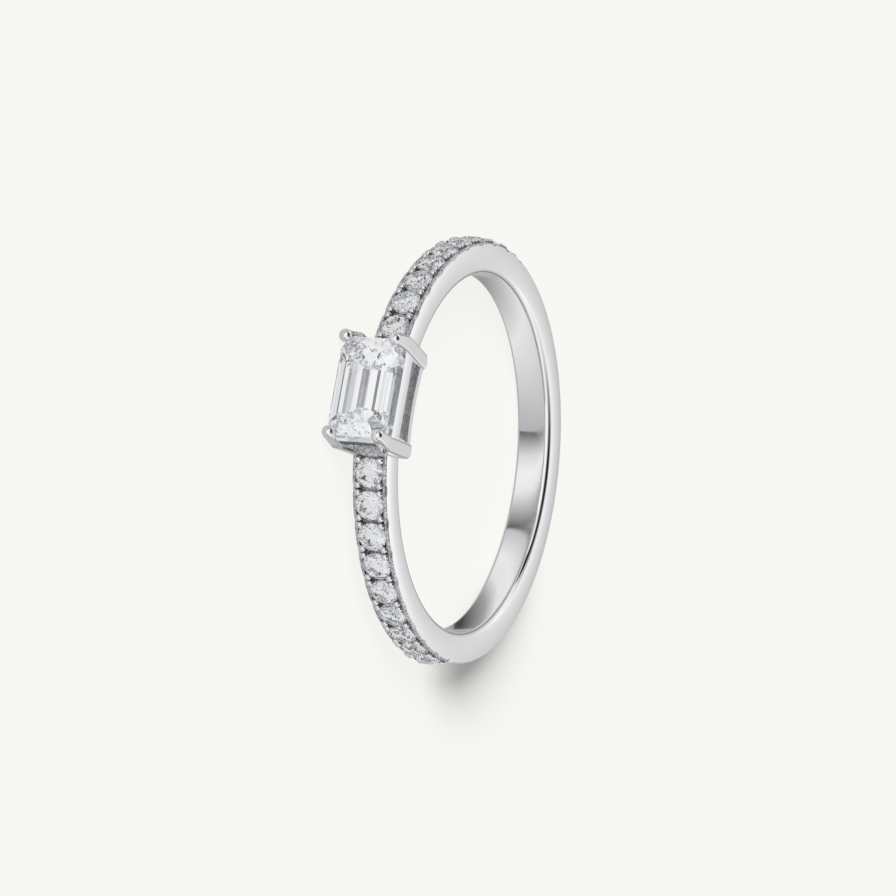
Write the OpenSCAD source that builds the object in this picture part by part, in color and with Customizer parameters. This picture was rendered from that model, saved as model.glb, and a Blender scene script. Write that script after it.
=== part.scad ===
// Slim ring with a step-cut stone in a four-prong setting, between two shoulders paved with small
// round stones. It lies on one side face. X runs from the finger hole's middle out through the
// large stone, Y along the band under it, and Z up, near to the line of the finger.

/* [Band] */
// Inside diameter, across the finger hole
finger_d = 16.5; // [15.5:0.1:19]
// Width of the band along the finger
band_w = 1.752; // [1.7:0.01:2.2]
// Thickness of the plain band
band_t = 1.43; // [1.35:0.01:1.7]
// Rounding of the two edges next to the finger
inner_round = 0.24; // [0.1:0.01:0.35]
// Rounding of the two outer edges
outer_round = 0.14; // [0.08:0.01:0.25]

/* [Paved shoulders] */
// Diameter of each small round stone
round_d = 1.36; // [1.28:0.01:1.4]
// Stones in each shoulder
rounds_per_side = 9; // [4:1:9]
// Angle from the large stone's middle to the first small stone
first_round_angle = 20.6; // [20:0.1:23]
// Angle between neighbouring small stones
round_pitch = 8.9; // [8.7:0.1:9.3]
// Width of each side rail's flat top
rail_w = 0.2; // [0.15:0.01:0.25]
// Depth of the cut between the two rails
channel_depth = 0.2; // [0.1:0.01:0.3]
// Diameter of the beads that hold the small stones
bead_d = 0.34; // [0.28:0.01:0.36]
// Diameter of the two larger beads next to the setting
end_bead_d = 0.42; // [0.34:0.01:0.44]
// Depth of the scallops filed into the outer edges between stones
scallop_depth = 0.12; // [0.1:0.01:0.15]

/* [Large stone] */
// Length of the stone, along the band
stone_l = 4.6; // [4.4:0.05:4.7]
// Width of the stone, along the finger
stone_w = 2.88; // [2.8:0.02:3]
// Length that each cut corner takes off both sides
stone_corner = 0.52; // [0.4:0.02:0.6]
// Height of the stone's widest edge over the plain band
girdle_over_band = 1.4; // [1.3:0.05:1.6]
// Height of the stone's upper part
crown_h = 0.32; // [0.3:0.02:0.5]
// Depth of the stone's lower part
pavilion_h = 1.35; // [1.1:0.05:1.4]
// Clearance between the large stone and the metal
stone_gap = 0.03; // [0.02:0.01:0.05]

/* [Setting] */
// Width of a prong along the band
prong_w = 0.7; // [0.6:0.02:0.76]
// Depth of a prong along the finger
prong_d = 0.58; // [0.5:0.02:0.66]
// Diameter of the rounded prong tips
tip_d = 0.6; // [0.56:0.02:0.66]
// Distance between prong feet along the band, middle to middle
feet_l = 4.24; // [4.16:0.02:4.3]
// Distance between prong tips along the band, middle to middle
tips_l = 4.48; // [4.44:0.01:4.54]
// Distance between prong tips along the finger, middle to middle
tips_w = 2.42; // [2.36:0.02:2.5]
// How far each prong leans outward along the finger, from its foot to its tip
prong_lean = 0.11; // [0.05:0.02:0.15]
// How far each prong leans outward along the band, from its foot up to its shoulder
prong_splay = 0.23; // [0.15:0.02:0.25]
// Rounding of the setting's four outer corners next to the finger
foot_round = 0.4; // [0.34:0.02:0.46]
// Height of the upper rail along each long side
upper_rail_h = 0.76; // [0.6:0.02:0.9]
// Height of the lower rail along each long side
lower_rail_h = 0.35; // [0.25:0.02:0.45]
// How far both rails lie back from the face of the prongs
rail_setback = 0.1; // [0.06:0.01:0.14]
// Depth of the sunk panel between the two rails
panel_depth = 0.18; // [0.1:0.02:0.24]
// Thickness of the end walls between each pair of prongs
end_wall_t = 0.38; // [0.36:0.02:0.5]

/* [Hidden] */
$fn = 64;
metal_colour = [0.80, 0.81, 0.83];
stone_colour = [0.88, 0.92, 0.96, 0.6];

bore_r = finger_d / 2;
band_r = bore_r + band_t;
half_w = band_w / 2;
// Steps in which each rounded edge of the band is drawn
edge_steps = 5;

// Paved shoulders
round_r = round_d / 2;
round_girdle_r = band_r - 0.02;
round_pavilion = 0.56;
seat_clearance = 0.01;
// Straight wall of each seat, below and above the level of the stone's widest edge
seat_wall = 0.12;
seat_above = 0.06;
seat_lap = 0.01;
seat_tip_r = 0.06;
shoulder_start = first_round_angle - round_pitch / 2;
shoulder_end = first_round_angle + (rounds_per_side - 0.5) * round_pitch;
channel_half = half_w - rail_w;
bead_z = 0.53;
bead_angle = 1.05;
bead_post_r = 0.1;
bead_top_r = band_r + 0.04;
scallop_r = 1.2;
scallop_tilt = 32;
scallop_turn = 0.3;
shoulder_sides = [-1, 1];

// Levels of the setting, as distances from the ring's axis along X
girdle_x = band_r + girdle_over_band;
girdle_t = 0.08;
tip_x = girdle_x + 0.32;
foot_x = bore_r - 0.45;
rail_top_x = girdle_x - 0.91;
shoulder_x = girdle_x - 0.78;
window_top_x = rail_top_x - upper_rail_h;
rim_x = girdle_x - 0.42;
cavity_floor_x = bore_r + 0.75;
foot_half_l = feet_l / 2;

// The prongs lean out across the finger over their whole height, and along the band up to the shoulder
lean_angle = atan(prong_lean / (tip_x - bore_r));
splay_angle = atan(prong_splay / (shoulder_x - bore_r));
prong_foot_z = tips_w / 2 - prong_lean;
prong_face_z = prong_foot_z + prong_d / 2;
wall_face_z = prong_face_z - rail_setback;
// Width of a prong both ways where it ends in its rounded tip
claw_w = 0.5;
// Levels of a prong's foot, shoulder and tip, and its middle line at each, along Y and Z
PRONG_LEVELS = [foot_x, shoulder_x, tip_x];
prong_middle_y = [
    foot_half_l + (foot_x - bore_r) * tan(splay_angle),
    foot_half_l + (shoulder_x - bore_r) * tan(splay_angle),
    tips_l / 2
];
prong_middle_z = [for (x = PRONG_LEVELS) prong_foot_z + (x - bore_r) * tan(lean_angle)];
side_wall_t = 0.5;
wall_half_l = foot_half_l + 0.1;
foot_half_z = wall_face_z - panel_depth - 0.02;
panel_half_l = foot_half_l - prong_w / 2 - 0.01;
// Outer face of the end walls, from the middle of the prongs' feet, behind the prongs' own outer faces
wall_recess = 0.32;
end_face = prong_w / 2 - wall_recess;
cavity_half_z = wall_face_z - side_wall_t + 0.02;
cavity_half_l = foot_half_l + end_face - end_wall_t - 0.03;
light_hole = [2.6, 1.0];
scoop_r = 0.8;
scoop_x = rim_x - 0.72;
scoop_depth = 0.2;
// Height by which the solid foot laps up into the walls above the cavity's floor
foot_lap = 0.3;
// Start of the rounded foot corners, from the finger hole's edge at the setting's middle
foot_start = -0.25;

// The stone's steps: each row is [height, inset from the widest outline], as parts of the whole
CROWN_STEPS = [[0, 0], [0.5, 0.38], [0.87, 0.78], [1, 1]];
PAVILION_STEPS = [[0, 0], [0.14, 0.1], [0.34, 0.3], [0.54, 0.5], [0.74, 0.7], [0.91, 0.86], [1, 1]];
table_inset = 0.58;
keel_inset = stone_w / 2 - 0.03;

// Turn about Y that lets the ring rest on two prong tips and the back of the band
tip_reach = [tip_x, -tips_w / 2];
back_reach = [-(band_r - outer_round), -(half_w - outer_round)];
rest_run = tip_reach[0] - back_reach[0];
rest_rise = back_reach[1] - tip_reach[1];
rest_drop = tip_d / 2 - outer_round;
rest_angle = asin(rest_drop / norm([rest_run, rest_rise])) + atan2(rest_rise, rest_run);

// Quarter turn of points about a middle, from one angle to another
function arc(middle, r, from, to, steps) =
    [for (i = [0:steps]) let (a = from + (to - from) * i / steps) middle + r * [cos(a), sin(a)]];

// Outline of the stone at one level: a rectangle with cut corners, inset on all sides
function cut_outline(inset, grow, x) =
    let (
        a = stone_l / 2 - inset + grow,
        b = stone_w / 2 - inset + grow,
        c = min(stone_corner * (1 - 0.55 * inset / (stone_w / 2)), b * 0.8)
    )
    [
        for (
            p = [
                [a, b - c], [a - c, b], [c - a, b], [-a, b - c],
                [-a, c - b], [c - a, -b], [a - c, -b], [a, c - b]
            ]
        )
            [x, p[0], p[1]]
    ];

// All levels of the stone, from the keel up to the table
function stone_levels(grow) = concat(
    [
        for (i = [len(PAVILION_STEPS) - 1:-1:0])
            cut_outline(
                PAVILION_STEPS[i][1] * keel_inset,
                grow,
                girdle_x - PAVILION_STEPS[i][0] * (pavilion_h + grow)
            )
    ],
    [
        for (step = CROWN_STEPS)
            cut_outline(step[1] * table_inset, grow, girdle_x + girdle_t + step[0] * (crown_h + grow))
    ]
);

// Solid skin over a stack of outlines that have the same number of points
module stack(levels) {
    n = len(levels[0]);
    top = len(levels) - 1;
    polyhedron(
        points = [for (level = levels, p = level) p],
        faces = concat(
            [[for (i = [n - 1:-1:0]) i]],
            [
                for (k = [0:top - 1], i = [0:n - 1])
                    [k * n + i, k * n + (i + 1) % n, (k + 1) * n + (i + 1) % n, (k + 1) * n + i]
            ],
            [[for (i = [0:n - 1]) top * n + i]]
        ),
        convexity = 4
    );
}

// Straight-sided room for the stone with its clearance, in one block for each step of its outline
module stone_room() {
    levels = stone_levels(stone_gap);
    widest = len(PAVILION_STEPS);
    for (k = [0:len(levels) - 2]) {
        outline = levels[k < widest ? k + 1 : k];
        low = levels[k][0][0] - (k < widest ? stone_gap : 0);
        high = levels[k + 1][0][0] + (k < widest - 1 ? 0 : stone_gap);
        translate([low, 0, 0])
            rotate([0, 90, 0])
                linear_extrude(height = high - low)
                    polygon([for (p = outline) [-p[2], p[1]]]);
    }
}

// Section of the plain band, with softer edges next to the finger
module band_section() {
    r = inner_round;
    q = outer_round;
    polygon(concat(
        arc([bore_r + r, -half_w + r], r, 180, 270, edge_steps),
        arc([band_r - q, -half_w + q], q, 270, 360, edge_steps),
        arc([band_r - q, half_w - q], q, 0, 90, edge_steps),
        arc([bore_r + r, half_w - r], r, 90, 180, edge_steps)
    ));
}

module plain_band() {
    rotate_extrude($fn = 180) band_section();
}

// Places children on the outside of the band at an angle, with their Z pointing away from the ring
module outward(angle, r) {
    rotate([0, 0, angle]) translate([r, 0, 0]) rotate([0, 90, 0]) children();
}

// Cut between the rails of one shoulder
module shoulder_channel(side) {
    span = shoulder_end - shoulder_start;
    start = side > 0 ? shoulder_start : -shoulder_end;
    rotate([0, 0, start])
        rotate_extrude(angle = span, $fn = 180)
            translate([band_r - channel_depth, -channel_half])
                square([channel_depth + 1, 2 * channel_half]);
}

// Seat for a small round stone: a straight wall with a cone below it
module round_seat(angle) {
    outward(angle, round_girdle_r - seat_wall)
        cylinder(r = round_r + seat_clearance, h = seat_wall + seat_above);
    outward(angle, round_girdle_r - seat_wall - round_pavilion + seat_lap)
        cylinder(r1 = seat_tip_r, r2 = round_r, h = round_pavilion);
}

// Bead of metal beside a small stone: a short post with a domed top
module bead(angle, z, d) {
    post_foot = band_r - channel_depth - 0.2;
    rotate([0, 0, angle])
        translate([0, 0, z]) {
            translate([post_foot, 0, 0])
                rotate([0, 90, 0])
                    cylinder(r = bead_post_r, h = bead_top_r - post_foot, $fn = 24);
            translate([bead_top_r, 0, 0]) sphere(d = d, $fn = 24);
        }
}

// Scallop filed into one outer edge of a shoulder, between two stones
module scallop(angle, z_side) {
    rotate([0, 0, angle])
        translate([band_r, 0, z_side * (half_w - scallop_depth + scallop_r / cos(scallop_tilt))])
            rotate([0, 90 + z_side * scallop_tilt, 0])
                translate([0, 0, -scallop_turn])
                    cylinder(r = scallop_r, h = 1.2);
}

// Beads of one shoulder: two beside each stone at either end, the first two larger
module shoulder_beads(side) {
    for (k = [0:rounds_per_side - 1], turn = [-1, 1], z_side = [-1, 1]) {
        edge = first_round_angle + (k + turn / 2) * round_pitch;
        bead(
            side * (edge - turn * bead_angle),
            z_side * bead_z,
            k == 0 && turn < 0 ? end_bead_d : bead_d
        );
    }
}

module shoulder_cuts(side) {
    for (k = [0:rounds_per_side - 1]) round_seat(side * (first_round_angle + k * round_pitch));
    for (k = [1:rounds_per_side], z_side = [-1, 1])
        scallop(side * (shoulder_start + k * round_pitch), z_side);
}

// Places children at one end of the setting, turned so that X follows the splay of the prongs
module splayed(end) {
    translate([bore_r, end * foot_half_l, 0]) rotate([0, 0, end * splay_angle]) children();
}

// Outline of a bar seen from one side, about a middle line given at each of PRONG_LEVELS
function bar_outline(middles, widths) = concat(
    [for (i = [0:2]) [PRONG_LEVELS[i], middles[i] + widths[i] / 2]],
    [for (i = [2:-1:0]) [PRONG_LEVELS[i], middles[i] - widths[i] / 2]]
);

// One prong: it leans out up to its shoulder, then narrows to a rounded tip over the stone's corner
module prong(end, side) {
    tip = [tip_x, end * tips_l / 2, side * tips_w / 2];
    reach = prong_face_z + stone_l;
    intersection() {
        linear_extrude(height = reach, center = true)
            polygon(bar_outline(end * prong_middle_y, [prong_w, prong_w, claw_w]));
        rotate([90, 0, 0])
            linear_extrude(height = 2 * reach, center = true)
                polygon(bar_outline(side * prong_middle_z, [prong_d, prong_d, claw_w]));
    }
    translate(tip) sphere(r = tip_d / 2, $fn = 32);
}

// Long side wall of the setting, with the sunk panel between its rails
module side_wall(side) {
    proud = 0.1;
    tall = 8;
    translate([bore_r, 0, side * wall_face_z])
        rotate([0, -side * lean_angle, 0])
            translate([-bore_r, 0, -side * wall_face_z])
                difference() {
                    translate([foot_x, -wall_half_l, side > 0 ? wall_face_z - side_wall_t : -wall_face_z])
                        cube([rail_top_x - foot_x, 2 * wall_half_l, side_wall_t]);
                    intersection() {
                        translate([
                            bore_r,
                            -panel_half_l,
                            side > 0 ? wall_face_z - panel_depth : -wall_face_z - proud
                        ])
                            cube([window_top_x - bore_r, 2 * panel_half_l, panel_depth + proud]);
                        difference() {
                            cylinder(r = tip_x, h = tall, center = true);
                            cylinder(r = bore_r + lower_rail_h, h = tall + 1, center = true);
                        }
                    }
                }
}

// Wall that joins two prongs across one end, scooped out on its outer face
module end_wall(end) {
    splayed(end)
        difference() {
            translate([foot_x - bore_r, end > 0 ? end_face - end_wall_t : -end_face, -prong_foot_z])
                cube([rim_x - foot_x, end_wall_t, 2 * prong_foot_z]);
            translate([scoop_x - bore_r, end * (end_face + scoop_r - scoop_depth), 0])
                cylinder(r = scoop_r, h = 3 * prong_face_z, center = true);
        }
}

// Solid foot of the setting, down to the finger hole
module setting_foot() {
    translate([foot_x, -foot_half_l, -foot_half_z])
        cube([cavity_floor_x - foot_x + foot_lap, 2 * foot_half_l, 2 * foot_half_z]);
}

// Room under the stone, and the hole that lets light up to it
module setting_cavity() {
    translate([cavity_floor_x, -cavity_half_l, -cavity_half_z])
        cube([tip_x - cavity_floor_x, 2 * cavity_half_l, 2 * cavity_half_z]);
    translate([foot_x - 1, -light_hole[0] / 2, -light_hole[1] / 2])
        cube([cavity_floor_x - foot_x + 2, light_hole[0], light_hole[1]]);
}

// Everything outside the rounded corner at one end of the setting's foot
module foot_corner(end) {
    face = prong_w / 2 * cos(splay_angle);
    beyond = 1;
    tall = 4;
    splayed(end)
        difference() {
            translate([-beyond, end > 0 ? face - foot_round : -face - beyond, -tall / 2])
                cube([foot_start + foot_round + beyond, foot_round + beyond, tall]);
            translate([foot_start + foot_round, end * (face - foot_round), 0])
                cylinder(r = foot_round, h = tall + 1, center = true);
        }
}

module setting_metal() {
    difference() {
        union() {
            difference() {
                union() {
                    setting_foot();
                    for (side = [-1, 1]) side_wall(side);
                    for (end = [-1, 1]) end_wall(end);
                }
                setting_cavity();
            }
            for (end = [-1, 1], side = [-1, 1]) prong(end, side);
        }
        for (end = [-1, 1]) foot_corner(end);
    }
}

// Lays the upright ring over until two prong tips and the back of the band share one level
module at_rest() {
    rotate([0, -rest_angle, 0]) children();
}

module band_and_setting() {
    color(metal_colour)
        at_rest()
            difference() {
                union() {
                    difference() {
                        plain_band();
                        for (side = shoulder_sides) shoulder_channel(side);
                        for (side = shoulder_sides) shoulder_cuts(side);
                        setting_cavity();
                    }
                    for (side = shoulder_sides) shoulder_beads(side);
                    setting_metal();
                }
                cylinder(r = bore_r, h = 8, center = true, $fn = 180);
                stone_room();
            }
}

module centre_stone() {
    color(stone_colour) at_rest() stack(stone_levels(0));
}

band_and_setting();
centre_stone();
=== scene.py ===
"""Ring with one step-cut stone and paved shoulders: its looks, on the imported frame.

The ring is modelled upright, in millimetres, with X from the finger hole's middle out
through the large stone, Y along the band under it and Z along the finger. Each finished
piece is then laid over by the angle at which the ring rests, and brought to metres.
"""

import logging
import math
from collections.abc import Callable, Iterable
from dataclasses import dataclass
from enum import Enum

import bmesh
import bpy
from mathutils import Euler, Matrix, Vector

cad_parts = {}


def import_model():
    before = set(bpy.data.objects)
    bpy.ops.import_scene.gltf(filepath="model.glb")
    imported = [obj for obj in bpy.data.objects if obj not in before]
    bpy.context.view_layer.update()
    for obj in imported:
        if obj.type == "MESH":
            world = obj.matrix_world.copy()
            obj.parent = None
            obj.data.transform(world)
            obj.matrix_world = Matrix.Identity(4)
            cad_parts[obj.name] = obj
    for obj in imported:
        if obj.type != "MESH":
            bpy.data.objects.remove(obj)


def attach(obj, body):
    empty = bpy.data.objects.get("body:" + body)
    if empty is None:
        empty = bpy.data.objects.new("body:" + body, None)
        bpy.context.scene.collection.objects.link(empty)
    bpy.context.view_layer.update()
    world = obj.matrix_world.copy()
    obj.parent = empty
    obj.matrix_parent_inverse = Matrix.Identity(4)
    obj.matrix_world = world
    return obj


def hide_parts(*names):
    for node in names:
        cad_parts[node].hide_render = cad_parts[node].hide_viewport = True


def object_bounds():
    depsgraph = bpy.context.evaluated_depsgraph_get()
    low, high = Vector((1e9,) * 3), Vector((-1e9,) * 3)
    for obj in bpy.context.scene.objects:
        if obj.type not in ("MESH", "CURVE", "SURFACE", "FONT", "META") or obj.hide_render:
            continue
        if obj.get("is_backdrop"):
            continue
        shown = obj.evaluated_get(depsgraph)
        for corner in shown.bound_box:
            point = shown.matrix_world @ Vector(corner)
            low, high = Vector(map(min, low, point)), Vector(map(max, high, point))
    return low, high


LOG = logging.getLogger("ring")
MM = 0.001
REST_ANGLE = math.radians(1.73440)
LAY_DOWN = Matrix.Scale(MM, 4) @ Matrix.Rotation(-REST_ANGLE, 4, "Y")
BORE_RADIUS = 8.25
BAND_RADIUS = 9.68
BAND_WIDTH = 1.752
BAND_STEPS = 288

Piece = bpy.types.Object
Material = bpy.types.Material
Socket = bpy.types.NodeSocket


class Slot(Enum):
    """Material slots of the record."""

    METAL = "white_metal"
    STONE = "clear_stone"


class Part(Enum):
    """Kinds of mesh element that can be selected."""

    VERT = "VERT"
    EDGE = "EDGE"
    FACE = "FACE"


class Cut(Enum):
    """What a boolean modifier does with its cutter."""

    REMOVE = "DIFFERENCE"
    JOIN = "UNION"


# ---- hand tools ----


def deselect() -> None:
    """Leaves nothing selected, in object mode."""
    if bpy.context.mode != "OBJECT":
        bpy.ops.object.mode_set(mode="OBJECT")
    bpy.ops.object.select_all(action="DESELECT")


def choose(piece: Piece) -> None:
    """Makes a piece the only selected and active one.

    Args:
        piece: The piece.
    """
    deselect()
    piece.select_set(True)
    bpy.context.view_layer.objects.active = piece


def start_edit(piece: Piece) -> None:
    """Opens a piece in edit mode with nothing selected.

    Args:
        piece: The piece.
    """
    choose(piece)
    bpy.ops.object.mode_set(mode="EDIT")
    bpy.ops.mesh.select_all(action="DESELECT")


def end_edit() -> Piece:
    """Goes back to object mode and returns the piece that was edited."""
    bpy.ops.object.mode_set(mode="OBJECT")
    return bpy.context.object


def pick(part: Part, test: Callable[[Vector, Vector], bool]) -> int:
    """Selects only the elements of the open mesh that pass a test.

    Args:
        part: The kind of element.
        test: Takes an element's middle and its normal or, for an edge, its direction.

    Returns:
        How many elements are selected.
    """
    bpy.ops.mesh.select_mode(type=part.value)
    bpy.ops.mesh.select_all(action="DESELECT")
    mesh = bmesh.from_edit_mesh(bpy.context.object.data)
    if part is Part.VERT:
        found = [v for v in mesh.verts if test(v.co, v.normal)]
    elif part is Part.EDGE:
        found = [
            e
            for e in mesh.edges
            if test(
                (e.verts[0].co + e.verts[1].co) / 2,
                (e.verts[1].co - e.verts[0].co).normalized(),
            )
        ]
    else:
        found = [f for f in mesh.faces if test(f.calc_center_median(), f.normal)]
    for element in found:
        element.select_set(True)
    mesh.select_flush_mode()
    bmesh.update_edit_mesh(bpy.context.object.data)
    return len(found)


def bevel(width: float, segments: int, corners: bool = False) -> None:
    """Rounds the selected edges, or the selected corners of a flat outline."""
    bpy.ops.mesh.bevel(
        offset=width,
        segments=segments,
        profile=0.5,
        affect="VERTICES" if corners else "EDGES",
    )


def tidy_normals(piece: Piece, merge: float = 1e-4) -> None:
    """Merges doubled vertices of a piece and points its faces outwards.

    Args:
        piece: The piece.
        merge: How near two vertices are that count as one.
    """
    start_edit(piece)
    bpy.ops.mesh.select_all(action="SELECT")
    bpy.ops.mesh.remove_doubles(threshold=merge)
    bpy.ops.mesh.normals_make_consistent(inside=False)
    end_edit()


def start_with(kind: str, name: str, **sizes: float) -> Piece:
    """Adds a mesh primitive of that kind at the origin, selected alone.

    Args:
        kind: The primitive's name in Blender, such as "plane".
        name: The new object's name.
        **sizes: The sizes and counts that this primitive takes.

    Returns:
        The new object.
    """
    deselect()
    getattr(bpy.ops.mesh, f"primitive_{kind}_add")(location=(0, 0, 0), **sizes)
    piece = bpy.context.object
    piece.name = name
    return piece


def new_block(name: str, low: Vector, high: Vector) -> Piece:
    """Adds a box between two corners, with its place in its mesh.

    Args:
        name: The new object's name.
        low: The corner with the lowest coordinates.
        high: The corner opposite it.

    Returns:
        The box.
    """
    block = start_with("cube", name, size=1)
    size = high - low
    block.data.transform(
        Matrix.Translation((low + high) / 2) @ Matrix.Diagonal((*size, 1))
    )
    return block


def new_post(
    name: str, radius: float, low: float, high: float, sides: int = 64
) -> Piece:
    """Adds a cylinder about the Z axis between two heights, with its place in its mesh.

    Args:
        name: The new object's name.
        radius: Its radius.
        low: Its lower end.
        high: Its upper end.
        sides: How many flat sides it has.

    Returns:
        The cylinder.
    """
    post = start_with("cylinder", name, vertices=sides, radius=radius, depth=high - low)
    post.data.transform(Matrix.Translation((0, 0, (low + high) / 2)))
    return post


def copy_of(piece: Piece, name: str, place: Matrix) -> Piece:
    """Copies a piece with its own mesh, and moves the mesh.

    Args:
        piece: The piece to copy.
        name: The copy's name.
        place: How the copy's mesh is moved.

    Returns:
        The copy.
    """
    other = piece.copy()
    other.data = piece.data.copy()
    other.name = name
    bpy.context.collection.objects.link(other)
    other.data.transform(place)
    return other


def drop(*pieces: Piece) -> None:
    """Removes pieces that only served to make others."""
    for piece in pieces:
        bpy.data.objects.remove(piece)


def joined(pieces: Iterable[Piece], name: str) -> Piece:
    """Joins pieces into one object with that name.

    Args:
        pieces: The pieces, which are used up.
        name: The name of the whole.

    Returns:
        The whole.
    """
    pieces = list(pieces)
    deselect()
    for piece in pieces:
        piece.select_set(True)
    bpy.context.view_layer.objects.active = pieces[0]
    bpy.ops.object.join()
    pieces[0].name = name
    return pieces[0]


def apply_modifier(piece: Piece, kind: str, **settings: object) -> None:
    """Adds a modifier with its settings and applies it.

    Args:
        piece: The piece.
        kind: The modifier's type in Blender.
        **settings: Its properties.
    """
    choose(piece)
    modifier = piece.modifiers.new(kind.title(), kind)
    for key, value in settings.items():
        setattr(modifier, key, value)
    bpy.ops.object.modifier_apply(modifier=modifier.name)


def combine(piece: Piece, cutter: Piece, cut: Cut) -> None:
    """Cuts a piece with another, or joins the other to it, and drops the other."""
    apply_modifier(
        piece, "BOOLEAN", operation=cut.value, object=cutter, solver="EXACT"
    )
    drop(cutter)


def matte_and_shade_faces(
    piece: Piece,
    metal: Material,
    matte_and_shade: Material,
    test: Callable[[Vector, Vector], bool],
) -> None:
    """Gives a piece the polished metal, and the dark matte metal where a test says so; that
    metal's dark colour is painted shade.

    Args:
        piece: The piece.
        metal: The polished metal.
        matte_and_shade: The matte metal, dark as painted shade.
        test: Takes a face's middle and normal.
    """
    piece.data.materials.append(metal)
    piece.data.materials.append(matte_and_shade)
    start_edit(piece)
    count = pick(Part.FACE, test)
    # The picked faces take the dark metal: painted shade.
    piece.active_material_index = 1
    bpy.ops.object.material_slot_assign()
    end_edit()
    LOG.info("%s: %d faces left as cast", piece.name, count)


def outward(angle: float, radius: float) -> Matrix:
    """Place on the band at an angle in degrees, with Z pointing away from the ring."""
    return (
        Matrix.Rotation(math.radians(angle), 4, "Z")
        @ Matrix.Translation((radius, 0, 0))
        @ Matrix.Rotation(math.pi / 2, 4, "Y")
    )


def finish(
    piece: Piece,
    smooth_below: float | None = 30,
    weigh_faces: bool = True,
) -> Piece:
    """Lays a finished piece over, brings it to metres and hands it to the frame.

    Args:
        piece: The piece, modelled upright in millimetres.
        smooth_below: Edges under this many degrees look smooth; None keeps facets.
        weigh_faces: Whether large faces keep their own normal up to their edges.

    Returns:
        The piece.
    """
    choose(piece)
    if smooth_below is None:
        bpy.ops.object.shade_flat()
    else:
        bpy.ops.object.shade_smooth_by_angle(angle=math.radians(smooth_below))
        if weigh_faces:
            apply_modifier(piece, "WEIGHTED_NORMAL", keep_sharp=True, weight=80)
    piece.data.transform(LAY_DOWN)
    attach(piece, "root")
    LOG.info("%s: %d faces", piece.name, len(piece.data.polygons))
    return piece


# ---- finishes ----


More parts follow.
